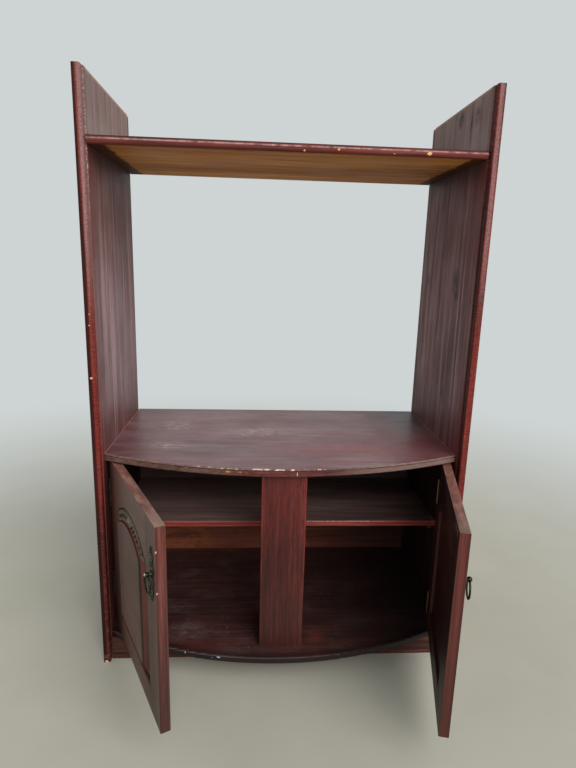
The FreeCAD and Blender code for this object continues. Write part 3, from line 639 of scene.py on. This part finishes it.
def door_extras(word, panel=False):
    """Outer face olive brown, inner face nearly black, end face red, and top edges pale from wear and a
    painted reflection.
    """
    left = word == "left"
    matrix = door_matrix(word)
    free_way, inner_way = matrix.col[0].xyz, matrix.col[1].xyz

    def extras(look):
        z = look.split(look.world)[2]
        local_x, local_y, _ = look.split(look.vector)
        depth = look.times(local_y, 1.0 if left else -1.0)
        height = look.remap(z, 0.12, 0.58)
        if panel:
            tone = field_tone(look, z, depth, height)
        else:
            tone = look.mix(height, (72, 51, 42), (110, 84, 76))
            lock_stile = look.remap(local_x, DOOR_WIDTH - STILE - 0.004, DOOR_WIDTH - STILE)
            tone = look.over(tone, (70, 54, 44), lock_stile, 0.6)
        look.paint(tone, look.toward(-inner_way, 0.94, 0.985), 0.68)
        inside = look.toward(inner_way, 0.5, 0.9, 0.0, 0.72)
        recess = look.remap(depth, DOOR_RECESS, DOOR_RECESS + 0.0006, 0.0, 0.7)
        look.paint((30, 17, 14), look.largest(inside, recess))
        end = look.toward(free_way, 0.6, 0.9)
        look.paint(look.mix(look.remap(z, 0.2, 0.5), (64, 38, 33), (102, 48, 43)), end,
                   look.patches(330.0, 0.4, 0.62, 0.25, 0.9, detail=3.0, stretch=(1.0, 1.0, 0.03)))
        if not left:
            look.paint((110, 44, 34), end, 0.25)
        look.paint((58, 28, 25), end, look.remap(depth, 0.0040, 0.0070, 0.6, 0.0))
        look.paint((96, 62, 52), end, look.remap(depth, 0.0180, 0.0215), 0.45 if left else 0.2)
        # Pale top edges: worn end grain with a painted reflection, greyer towards the left door's free edge.
        pale = look.noise(60.0, 5.0, 0.7, stretch=(0.5, 1.0, 1.0), vector=look.vector)
        tone = look.ramp(pale, [(0.34, (98, 58, 52)), (0.5, (124, 82, 72)), (0.66, (150, 114, 98))])
        tone = look.over(tone, (140, 122, 102) if left else (104, 92, 76),
                         look.remap(local_x, DOOR_WIDTH - 0.09, DOOR_WIDTH - 0.01, 0.0, 0.75))
        look.paint(tone, look.facing(2, 0.6, 0.9), look.remap(z, 0.590, 0.5935), 0.85)
        if left:
            corner = matrix @ Vector((DOOR_WIDTH, 0.001, 0))
            places = [((corner.x, corner.y, chip_z), radii) for chip_z, radii in DOOR_CHIPS]
            chips(look, places, (206, 156, 146))
    return extras


def carving_extras(word):
    """Carved wood, pale on its high parts, with polish left dark in its hollows."""
    def extras(look):
        depth = look.times(look.split(look.vector)[1], -1.0 if word == "right" else 1.0)
        look.paint((132, 122, 96), look.fall(depth, BAND_FRONT - 0.0048, BAND_FRONT - 0.0028), 0.8)
        look.paint((34, 24, 17), look.remap(depth, BAND_FRONT - 0.0028, BAND_FRONT - 0.0014, 0.0, 0.8))
    return extras


def back_panel_material():
    """Thin board, orange brown and unstained, seen inside in darker zones, with painted light at its left and
    painted shade at its right.
    """
    look = new_look("back_board")
    x, _, z = look.split(look.world)
    look.colour, pores = grain(look, 0, 11.0, BACK_WOOD, cross=50.0, along=1.5)
    cloud = look.noise(5.0)
    look.roughness = look.remap(cloud, 0.3, 0.7, 0.55, 0.75)
    look.paint((94, 44, 26), look.remap(cloud, 0.5, 0.7, 0.0, 0.5))
    inner = look.facing(1, 0.2, 0.6, 1.0, 0.0)
    # Paler orange at the left, inside: painted light.
    look.paint((168, 94, 56), look.fade(x, -0.27, -0.20), inner, 0.75,
               look.patches(22.0, 0.44, 0.54, rough=0.65, stretch=(0.6, 1.0, 1.4)))
    # Darker towards the right, inside: painted shade.
    look.paint((38, 24, 20), look.ease(x, 0.10, 0.38, 0.0, 0.62), inner)
    upper = look.mix(look.remap(x, -0.1, 0.1), (72, 54, 56), (76, 60, 62))
    look.paint(upper, look.remap(z, 0.350, 0.362, 0.0, 0.85), inner)
    return look.finish(pores, 0.15, 0.0004, 0.0008)


def raw_material():
    """Plain softwood of blocks, cleats and batten, darker inside the cupboard."""
    look = new_look("raw_wood")
    look.colour, pores = grain(look, 0, 5.0, RAW_WOOD, cross=70.0)
    look.paint((34, 24, 22), look.remap(look.split(look.world)[2], 0.300, 0.312, 0.0, 0.85))
    look.roughness = look.remap(pores, 0.3, 0.7, 0.6, 0.8)
    return look.finish(pores, 0.2, 0.0005, 0.0008)


def metal(name, dark, bright, rough, patina, tip=None):
    """Old metal: dark in hollows, bright on edges, and with a nearly white painted highlight at its tip where
    one is given.
    """
    look = new_look(name)
    cloud = look.noise(90.0, 5.0, 0.65)
    fine = look.noise(810.0, 3.0)
    rubbed = look.math("ADD", look.times(look.edge(0.0009, 0.03, 0.3), 0.85),
                       look.remap(cloud, 0.55, 0.75, 0.0, 1.0 - patina), clamp=True)
    look.colour = look.mix(rubbed, dark, bright)
    look.paint(dark, look.remap(fine, 0.5, 0.75, 0.0, 0.35))
    # Nearly white spot at the tip: painted highlight.
    if tip:
        look.paint((226, 222, 200), look.spot(tip, (0.005, 0.005, 0.0035), 0.4, 1.0))
    look.roughness = look.remap(cloud, 0.3, 0.7, rough - 0.08, rough + 0.12)
    return look.finish(fine, 0.25, 0.0003, 0.0004, Metallic=0.9)


def plastic_material():
    """Matt brown moulded plastic of the catches, with a fine texture."""
    look = new_look("catch_plastic")
    fine = look.noise(900.0, 2.0, 0.5)
    look.colour = look.mix(look.remap(fine, 0.4, 0.6, 0.0, 0.3), (44, 30, 24), (60, 44, 36))
    look.roughness = look.remap(fine, 0.3, 0.7, 0.5, 0.65)
    return look.finish(fine, 0.2, 0.0002)


# Carcass
for word, side in SIDES.items():
    dress(wood(f"side_wood_{word}", 2, BROWN_STAIN, side * 3.0 + 5.0, side_extras(word), wear=0.5, ash=0.3,
               coat=0.0, gleam=0.12, gloss=0.5), f"side_panel_{word}")
dress(wood("top_shelf_wood", 0, BROWN_STAIN, 2.0, top_shelf_extras, wear=0.4, ash=0.4, coat=0.0, gleam=0.04,
           gloss=0.6), "top_shelf")
dress(wood("counter_wood", 0, COUNTER_STAIN, 8.0, counter_extras, gloss=0.38, coat=0.25, gleam=0.35,
           wear=0.2, spread=0.6, cross=150.0), "counter_top")
dress(wood("bottom_wood", 0, BOTTOM_STAIN, 12.0, bottom_extras, wear=0.5, spread=0.6), "bottom_board")
dress(wood("shelf_wood", 0, SHELF_STAIN, 15.0, inner_shelf_extras, ash=0.5, wear_tone=(190, 120, 108)),
      "interior_shelf")
dress(wood("stile_wood", 2, RED_STAIN, 17.0, stile_extras, wear=0.3, cross=170.0, spread=0.8), "centre_stile")
dress(wood("plinth_wood", 0, PLINTH_STAIN, 19.0, wear=0.3), "plinth_board")
dress(back_panel_material(), "back_panel")
dress(raw_material(), "back_batten", "corner_blocks", "shelf_cleat_left", "shelf_cleat_right", "board_dowels")

# Doors, hinges, catches and handles
OLD_BRASS = ((44, 46, 34), (190, 172, 130), 0.36, 0.8)
LEFT_POST_HIGHLIGHT = (-0.3095, -0.3405, 0.4765)
hinge_old = metal("dark_hinge", (58, 58, 44), (150, 146, 118), 0.46, 0.7)
hinge_brass = metal("hinge_brass", (96, 80, 58), (190, 162, 118), 0.42, 0.35)
leaf_brass = metal("leaf_brass", (146, 110, 88), (206, 168, 142), 0.5, 0.5)
steel = metal("dull_steel", (88, 84, 78), (176, 170, 160), 0.4, 0.4)
antique = metal("antique_brass", *OLD_BRASS)
# Brass of the left ring post, with a painted highlight at its tip.
highlit_post_brass = metal("highlit_post_brass", *OLD_BRASS, LEFT_POST_HIGHLIGHT)
catch_plastic = plastic_material()
dress(steel, "back_panel_nails")

for word, side in SIDES.items():
    local = door_local(word)
    seed = 20.0 + side
    extras = door_extras(word)
    dress(wood(f"door_upright_{word}", 2, DOOR_STAIN, seed, extras, local), f"{word}_door_hinge_stile")
    dress(wood(f"door_lock_{word}", 2, DOOR_STAIN, seed + 3, extras, local), f"{word}_door_lock_stile")
    dress(wood(f"door_rail_{word}", 0, DOOR_STAIN, seed + 5, extras, local),
          f"{word}_door_top_rail", f"{word}_door_bottom_rail")
    dress(wood(f"door_panel_{word}", 2, DOOR_STAIN, seed + 7, door_extras(word, True), local, wear=0.3),
          f"{word}_door_panel")
    dress(hinge_old if word == "left" else hinge_brass, f"{word}_hinge_pins",
          *[f"{word}_{level}_hinge_{part}_leaf" for level in ("upper", "lower")
            for part in ("frame", "door")])
    dress(steel, f"{word}_hinge_frame_screws", f"{word}_hinge_door_screws", f"{word}_strike_plate")
    dress(catch_plastic, f"{word}_catch")
    dress(antique, f"{word}_ring_post", f"{word}_ring", f"{word}_handle_pins", f"{word}_handle_plate")
dress(highlit_post_brass, "left_ring_post")


def add_object(name, data):
    """Put new data into the scene as an object."""
    made = bpy.data.objects.new(name, data)
    bpy.context.scene.collection.objects.link(made)
    return made


def mesh_piece(name, shape, word, material, smooth=True):
    """Make a mesh object from vertices and faces in a door's own frame, and let it ride on the door."""
    matrix = door_matrix(word)
    vertices, faces = shape
    mesh = bpy.data.meshes.new(name)
    mesh.from_pydata([matrix @ Vector(vertex) for vertex in vertices], [], faces)
    if matrix.determinant() < 0:
        mesh.flip_normals()
    mesh.validate()
    mesh.update()
    for polygon in mesh.polygons:
        polygon.use_smooth = smooth
    mesh.materials.append(material)
    piece = add_object(name, mesh)
    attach(piece, f"{word}_door")
    return piece


def relief(rows, columns, corner, ground, place, height):
    """Closed sheet with a modelled front and a flat back. place gives x and z in the sheet for two shares."""
    left, base, foot = corner

    def point(u, v, front):
        x, z = place(u, v)
        return (left + x, base - height(x, z) if front else ground, foot + z)

    vertices = [point(i / rows, j / columns, True) for i in range(rows + 1) for j in range(columns + 1)]
    count = len(vertices)
    for i in range(rows + 1):
        vertices += [point(i / rows, v, False) for v in (0.0, 1.0)]
    faces = []
    step = columns + 1
    for i in range(rows):
        for j in range(columns):
            a = i * step + j
            faces.append((a, a + 1, a + step + 1, a + step))
        low = count + 2 * i
        faces.append((low, low + 2, low + 3, low + 1))
        faces.append((i * step, (i + 1) * step, low + 2, low))
        faces.append(((i + 1) * step + columns, i * step + columns, low + 1, low + 3))
    faces.append((count, count + 1, *range(columns, -1, -1)))
    last = rows * step
    faces.append((count + 2 * rows + 1, count + 2 * rows, *range(last, last + columns + 1)))
    return vertices, faces


def arc_through(half_span, spring, crown):
    """Centre height and radius of an arc over a span."""
    rise = crown - spring
    radius = (half_span ** 2 + rise ** 2) / (2 * rise)
    return crown - radius, radius


# Leaf carving under each arch, in metres
BAND_HALF, BAND_GAP = 0.1325, 0.003
BAND_GROUND = BAND_FRONT - 0.0010
LEAVES_PER_ROW, LEAF_SPACING, FIRST_LEAF = 8, 0.0165, 0.010
LEAF_ROWS = ((0.24, -0.75), (0.70, 0.65))
LEAF_LENGTH, LEAF_LEAD, LEAF_SIGHT = 0.024, 0.006, 0.034
LEAF_RELIEF, LEAF_WIDTH, LEAF_WIDENING = 0.0042, 0.0014, 0.10
SLOPE_STEP, OUTER_SLOPE, LEAST_BAND = 0.004, 0.36, 0.0004
RIB_SPACING, VEIN_HALF = 0.0036, 0.0009
FAN_ROOT, FAN_REACH, FAN_RELIEF, FAN_SPREAD, FAN_LOBES = 0.005, 0.028, 0.0046, 1.2, 11
RIM_EASE = 0.0018


def leaf_height(a, b, width):
    """Height of a pointed leaf at a along and b across its own axis."""
    share = a / LEAF_LENGTH
    if not 0 < share < 1:
        return 0.0
    half = width * math.sin(math.pi * share ** 0.75) * (1 - 0.25 * share)
    if half <= 0 or abs(b) >= half:
        return 0.0
    body = math.sqrt(1 - (b / half) ** 2)
    vein = max(0.0, 1 - abs(b) / VEIN_HALF) * 0.45
    ribs = 0.14 * math.cos((a - abs(b) * 0.9) / RIB_SPACING * 2 * math.pi)
    return LEAF_RELIEF * (body * (0.78 + ribs) - vein)


def fan_height(x, dz):
    """Height of the fan of lobes at the carving's middle, dz above its root."""
    angle = math.atan2(x, max(dz, 1e-6))
    reach = math.hypot(x, dz)
    if dz <= 0 or reach >= FAN_REACH or abs(angle) >= FAN_SPREAD:
        return 0.0
    lobes = 0.5 + 0.5 * math.cos(angle * FAN_LOBES)
    fade = math.sin(math.pi * min(1.0, reach / (FAN_REACH * (0.82 + 0.18 * lobes))))
    return FAN_RELIEF * max(0.0, fade) * (0.55 + 0.45 * lobes)


def carved_band():
    """Spandrel of traditional leaf carving between the arch of the rail and the raised field."""
    middle = DOOR_WIDTH / 2
    outer_centre, outer_radius = arc_through(middle - STILE - BAND_GAP, SPRING - BAND_GAP, CROWN - BAND_GAP)
    inner_centre, inner_radius = arc_through(FIELD_HALF, FIELD_SPRING, FIELD_CROWN)
    leaves = [(way * (FIRST_LEAF + index * LEAF_SPACING), row, way, tilt)
              for way in (-1, 1) for index in range(LEAVES_PER_ROW) for row, tilt in LEAF_ROWS]

    def edges(x):
        top = outer_centre + math.sqrt(max(outer_radius ** 2 - x * x, 0))
        reach = min(abs(x), FIELD_HALF)
        low = inner_centre + math.sqrt(max(inner_radius ** 2 - reach * reach, 0))
        low += OUTER_SLOPE * (abs(x) - reach)
        return min(low, top - LEAST_BAND), top

    def carving(x, z):
        low, top = edges(x)
        height = 0.0
        for leaf_x, row, way, tilt in leaves:
            if abs(x - leaf_x) > LEAF_SIGHT:
                continue
            leaf_low, leaf_top = edges(leaf_x)
            span = leaf_top - leaf_low
            slope = math.atan2(edges(leaf_x - way * SLOPE_STEP)[1] - leaf_top, SLOPE_STEP) + tilt
            dx, dz = (leaf_x - x) * way, z - (leaf_low + span * row)
            a = dx * math.cos(slope) + dz * math.sin(slope) + LEAF_LEAD
            b = -dx * math.sin(slope) + dz * math.cos(slope)
            height = max(height, leaf_height(a, b, LEAF_WIDENING * span + LEAF_WIDTH))
        height = max(height, fan_height(x, z - (edges(0)[0] + FAN_ROOT)))
        rim = min(z - low, top - z)
        return height * min(1.0, max(0.0, rim / RIM_EASE))

    def place(u, v):
        x = -BAND_HALF + 2 * BAND_HALF * u
        low, top = edges(x)
        return x, low + (top - low) * v

    return relief(440, 44, (middle, BAND_GROUND, 0.0), PANEL_FRONT + 0.0002, place, carving)


# Cast back plate of each handle, in metres from its middle; its lower half mirrors the upper
PLATE_HALF, PLATE_REACH = 0.0648, 0.065
NECK_HALF, NECK_REACH = 0.0048, 0.0605
LOBE_SIZE = 0.017
LOBES = ((0.0, 0.62), (0.22, 0.95), (0.42, 0.6), (0.62, 0.78), (0.8, 0.45), (0.93, 0.28))
MAIN_LOBE_Z = 0.0143
MIDDLE_BEADS = [(0.019 + index * 0.0085, 0.0030 - index * 0.00032) for index in range(5)] + [(0.0605, 0.0032)]
BEAD_RINGS = ((MAIN_LOBE_Z, 0.0142, 4, 0.36, 0.0015), (0.0403, 0.0112, 3, 0.4, 0.0013))


def plate_half_width(z):
    """Half width of the handle's back plate at a height from its middle."""
    reach = NECK_HALF if abs(z) < NECK_REACH else 0.0
    for share, width in LOBES:
        radius = width * LOBE_SIZE
        offset = abs(z) - share * PLATE_REACH
        if abs(offset) < radius:
            reach = max(reach, math.sqrt(radius ** 2 - offset ** 2))
    return max(reach, 0.0006)


def plate_beads():
    """Places and sizes of the beads down the plate's middle and around its lobes."""
    beads = []
    for way in (-1, 1):
        beads += [(0.0, way * z, size) for z, size in MIDDLE_BEADS]
        for centre, radius, reach, step, size in BEAD_RINGS:
            for turn in range(-reach, reach + 1):
                x = radius * math.cos(turn * step)
                z = way * centre + radius * math.sin(turn * step)
                beads += [(x, z, size), (-x, z, size)]
    return beads


BEADS = plate_beads()


def plate_relief(x, z):
    """Height of the plate's cast relief over the door: an eased rim, flutes in the main lobes, and beads."""
    edge = max(0.0, plate_half_width(z) - abs(x))
    height = 0.0010 + 0.0012 * min(1.0, edge / 0.0022)
    from_lobe = abs(z) - MAIN_LOBE_Z
    reach = math.hypot(x, from_lobe)
    if 0.004 < reach < 0.0125:
        flute = math.cos(math.atan2(from_lobe, x) * 10)
        height += 0.0005 * flute * math.sin(math.pi * (reach - 0.004) / 0.0085)
    for bead_x, bead_z, radius in BEADS:
        gap = math.hypot(x - bead_x, z - bead_z)
        if gap < radius:
            height = max(height, 0.0014 + math.sqrt(radius ** 2 - gap ** 2) * 0.8)
    return height


def handle_plate():
    """Cast back plate with beads and fluted lobes."""
    def place(u, v):
        z = -PLATE_HALF + 2 * PLATE_HALF * u
        return (2 * v - 1) * plate_half_width(z), z

    return relief(200, 44, (HANDLE_X, 0.0, HANDLE_Z), 0.0, place, plate_relief)


def strip(path, profile):
    """Sweep a closed profile of (inward, deeper) points along a path of (x, z, normal) points."""
    vertices = [(x + normal_x * across, deep, z + normal_z * across)
                for x, z, normal_x, normal_z in path for across, deep in profile]
    size = len(profile)
    faces = []
    for i in range(len(path) - 1):
        for j in range(size):
            k = (j + 1) % size
            faces.append((i * size + j, i * size + k, (i + 1) * size + k, (i + 1) * size + j))
    faces.append(tuple(range(size - 1, -1, -1)))
    last = (len(path) - 1) * size
    faces.append(tuple(range(last, last + size)))
    return vertices, faces


def opening_path():
    """Inner edge of a door's frame from one foot over the arch to the other, then along the bottom rail."""
    left, right = STILE, DOOR_WIDTH - STILE
    middle = DOOR_WIDTH / 2
    centre, radius = arc_through(middle - STILE, SPRING, CROWN)
    path = [(left, RAIL, 1.0, 1.0)]
    steps = 48
    start = math.atan2(SPRING - centre, left - middle)
    end = math.atan2(SPRING - centre, right - middle)
    for index in range(steps + 1):
        angle = start + (end - start) * index / steps
        x, z = middle + radius * math.cos(angle), centre + radius * math.sin(angle)
        path.append((x, z, -math.cos(angle), -math.sin(angle)))
    path += [(right, RAIL, -1.0, 1.0), (left, RAIL, 1.0, 1.0)]
    return path


def bead_profile():
    """Half round bead of a frame's opening, as (inward, deeper) points."""
    radius, middle, steps = 0.0024, 0.0036, 6
    turns = [math.pi * index / steps for index in range(1, steps)]
    arc = [(radius * math.sin(turn), middle - radius * math.cos(turn)) for turn in turns]
    return [(0.0, middle - radius), *arc, (0.0, middle + radius)]


def leaf_lip(height):
    """Long edge of a hinge leaf with rounded corners and eased arrises, in the door's own frame."""
    half, inner, outer, corner, steps = 0.038, 0.0225, 0.0264, 0.003, 6
    layers = ((-0.0017, 0.0005), (-0.0013, 0.0), (-0.0006, 0.0), (-0.0002, 0.0005))

    def outline(ease):
        points = [(inner, height - half + ease)]
        for way in (-1, 1):
            for index in range(steps + 1):
                turn = math.pi / 2 * (index / steps if way < 0 else 1 - index / steps)
                far = outer - corner + corner * math.sin(turn) - ease
                reach = half - corner + corner * math.cos(turn) - ease
                points.append((far, height + way * reach))
        points.append((inner, height + half - ease))
        return points

    vertices = [(x, y, z) for x, ease in layers for y, z in outline(ease)]
    size = len(vertices) // len(layers)
    faces = [tuple(range(size)), tuple(range(4 * size - 1, 3 * size - 1, -1))]
    for ring in range(3):
        for j in range(size):
            k = (j + 1) % size
            faces.append((ring * size + k, ring * size + j, (ring + 1) * size + j, (ring + 1) * size + k))
    return vertices, faces


for word in SIDES:
    leaf_metal = hinge_old if word == "left" else leaf_brass
    for name, height in zip(("upper", "lower"), HINGE_HEIGHTS[word]):
        mesh_piece(f"{word}_{name}_leaf_lip", leaf_lip(height), word, leaf_metal, smooth=False)
    local = door_local(word)
    carving = wood(f"carved_wood_{word}", 0, CARVED_WOOD, 31.0, carving_extras(word), local, wear=0.5,
                   gloss=0.40)
    band = mesh_piece(f"{word}_leaf_carving", carved_band(), word, carving)
    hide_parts(f"{word}_door_carved_band")
    plate = mesh_piece(f"{word}_cast_handle_plate", handle_plate(), word, antique)
    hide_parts(f"{word}_handle_plate")
    bead_wood = wood(f"bead_wood_{word}", 2, BEAD_STAIN, 41.0, local=local)
    mesh_piece(f"{word}_frame_bead", strip(opening_path(), bead_profile()), word, bead_wood)


# Stage: floor, world and lamps
def floor_material():
    """Pale floor near the cabinet that turns into the backdrop further out."""
    look = new_look("studio_floor")
    cloud = look.patches(3.0, 0.35, 0.65, detail=5.0)
    colour = look.mix(cloud, (174, 171, 155), (180, 177, 162))
    plain = look.node("BsdfPrincipled", {"Base Color": colour, "Roughness": 0.7})
    glow = look.node("Emission", {"Color": linear(BACKDROP), "Strength": 1.0})
    far = look.ease(look.along("LENGTH", look.world)["Value"], 0.8, 3.4)
    both = look.node("MixShader", {0: look.times(far, look.seen()), 1: plain.outputs[0], 2: glow.outputs[0]})
    look.node("OutputMaterial", {0: both.outputs[0]})
    return look.owner


def make_floor():
    """Wide flat floor, a hair below the feet."""
    mesh = bpy.data.meshes.new("studio_floor")
    reach = 14.0
    corners = [(-reach, -reach, 0), (reach, -reach, 0), (reach, reach, 0), (-reach, reach, 0)]
    mesh.from_pydata(corners, [], [(0, 1, 2, 3)])
    mesh.materials.append(floor_material())
    floor = add_object("studio_floor", mesh)
    floor.location.z = -0.0002


def make_world():
    """Soft sky light, with the plain backdrop where the camera looks past the floor."""
    world = bpy.data.worlds.new("studio")
    bpy.context.scene.world = world
    look = Look(world)
    light = look.node("Background", {0: (0.93, 0.97, 1.0, 1.0), 1: 0.5})
    backdrop = look.node("Background", {0: linear(BACKDROP), 1: 1.0})
    both = look.node("MixShader", {0: look.seen(), 1: light.outputs[0], 2: backdrop.outputs[0]})
    look.node("OutputWorld", {0: both.outputs[0]})


def aim(item, direction):
    """Turn a lamp to shine along a direction."""
    item.rotation_euler = direction.to_track_quat("-Z", "Y").to_euler()


def make_lamps():
    """A very soft sun from above on the right, and a wide window in front."""
    sun = bpy.data.lights.new("soft_sun", "SUN")
    sun.energy = 1.9
    sun.angle = math.radians(50)
    aim(add_object("soft_sun", sun), Vector((-0.5, 0.75, -0.75)))
    area = bpy.data.lights.new("window", "AREA")
    area.energy = 50
    area.shape = "RECTANGLE"
    area.size, area.size_y = 2.4, 1.4
    window = add_object("window", area)
    window.location = (0.9, -3.4, 2.6)
    aim(window, Vector((0, 0, 0.8)) - window.location)


def make_camera():
    """Camera of the photograph from its place and three angles."""
    cy, sy = math.cos(YAW), math.sin(YAW)
    cp, sp = math.cos(PITCH), math.sin(PITCH)
    cr, sr = math.cos(ROLL), math.sin(ROLL)
    ahead = Vector((sy * cp, cy * cp, -sp))
    right = Vector((cy, -sy, 0))
    up = right.cross(ahead)
    data = bpy.data.cameras.new("camera")
    data.sensor_width = SENSOR
    data.lens = SENSOR * FOCAL_PIXELS / PICTURE_HEIGHT
    data.clip_start = 0.05
    camera = add_object("camera", data)
    matrix = Matrix((cr * right + sr * up, -sr * right + cr * up, -ahead)).transposed().to_4x4()
    matrix.translation = Vector(CAMERA_PLACE)
    camera.matrix_world = matrix
    bpy.context.scene.camera = camera


make_floor()
make_world()
make_lamps()
make_camera()
bpy.context.scene.view_settings.view_transform = "Standard"
